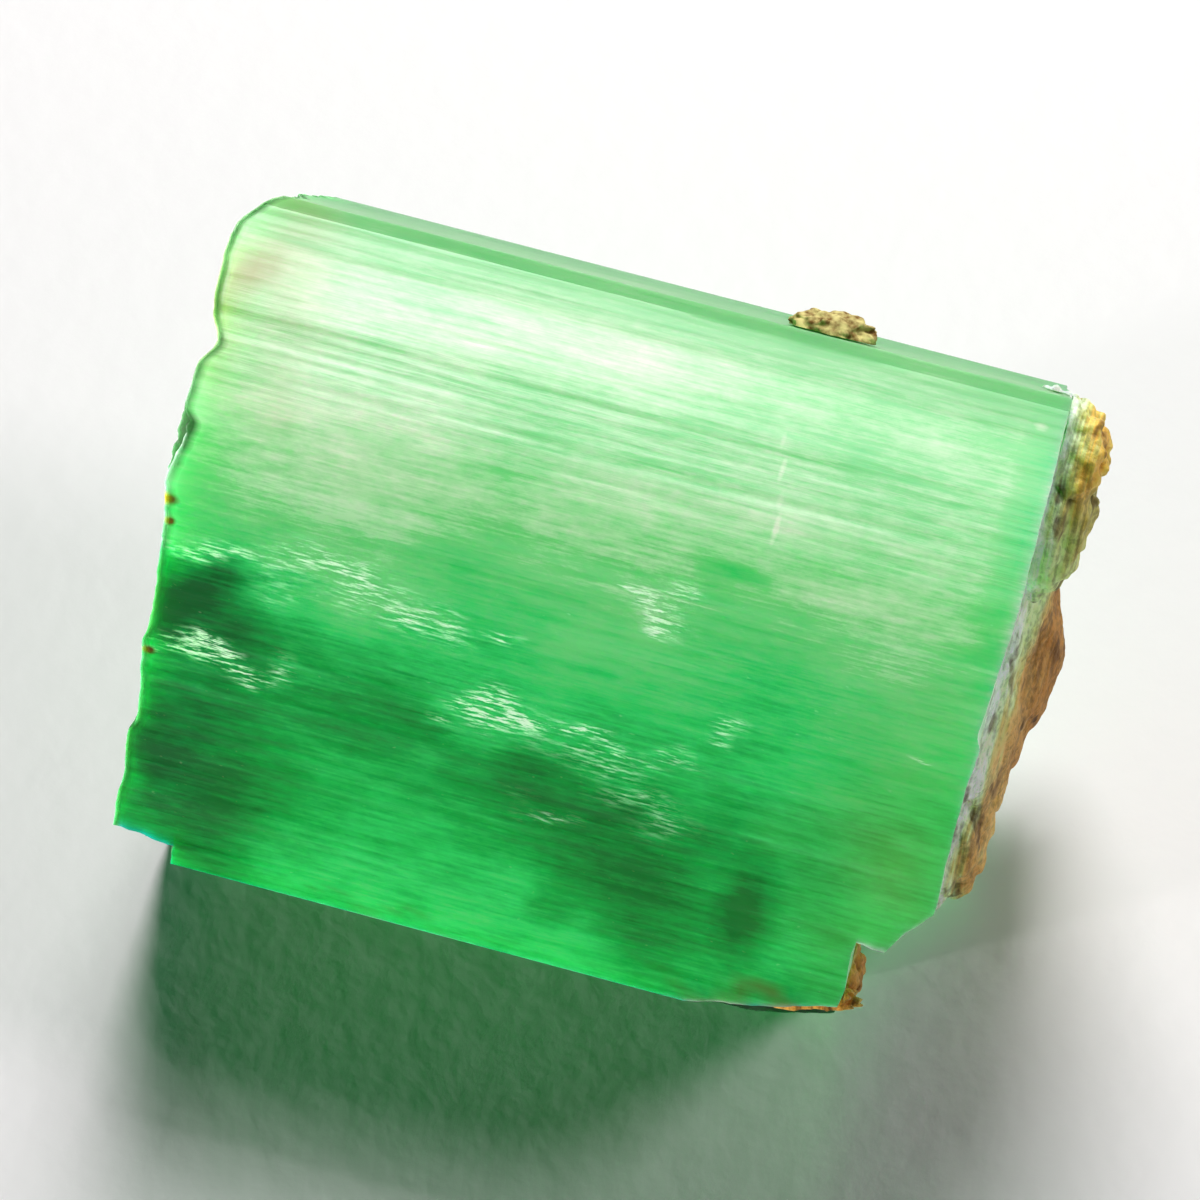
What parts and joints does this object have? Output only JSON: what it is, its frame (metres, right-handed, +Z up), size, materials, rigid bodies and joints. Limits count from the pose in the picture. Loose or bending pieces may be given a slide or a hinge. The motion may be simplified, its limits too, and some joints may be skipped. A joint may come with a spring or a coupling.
{
  "type": "emerald crystal",
  "caption": "Translucent green six-sided emerald prism lying on a prism face, with brown schist matrix on its broken base.",
  "frame": {"origin": "middle of the specimen's footprint, on the plane that it rests on", "axes": "+X along the prism axis towards the broken base with the matrix, -Y towards the broad front face, +Z up from the prism face that it rests on"},
  "size_m": [0.0104, 0.008, 0.0085],
  "materials": {
    "emerald": "natural crystal faces, finely striated along the axis, see-through and milky with veils inside",
    "brown_mica_schist": "rough weathered rock in thin layers",
    "ochre_limonite_crust": "earthy, crumbly and dull"
  },
  "bodies": {
    "root": {"emerald_crystal": "emerald", "base_matrix_crust": "brown_mica_schist", "lower_edge_crust": "brown_mica_schist", "back_matrix_crumb": "ochre_limonite_crust"}
  },
  "joints": []
}
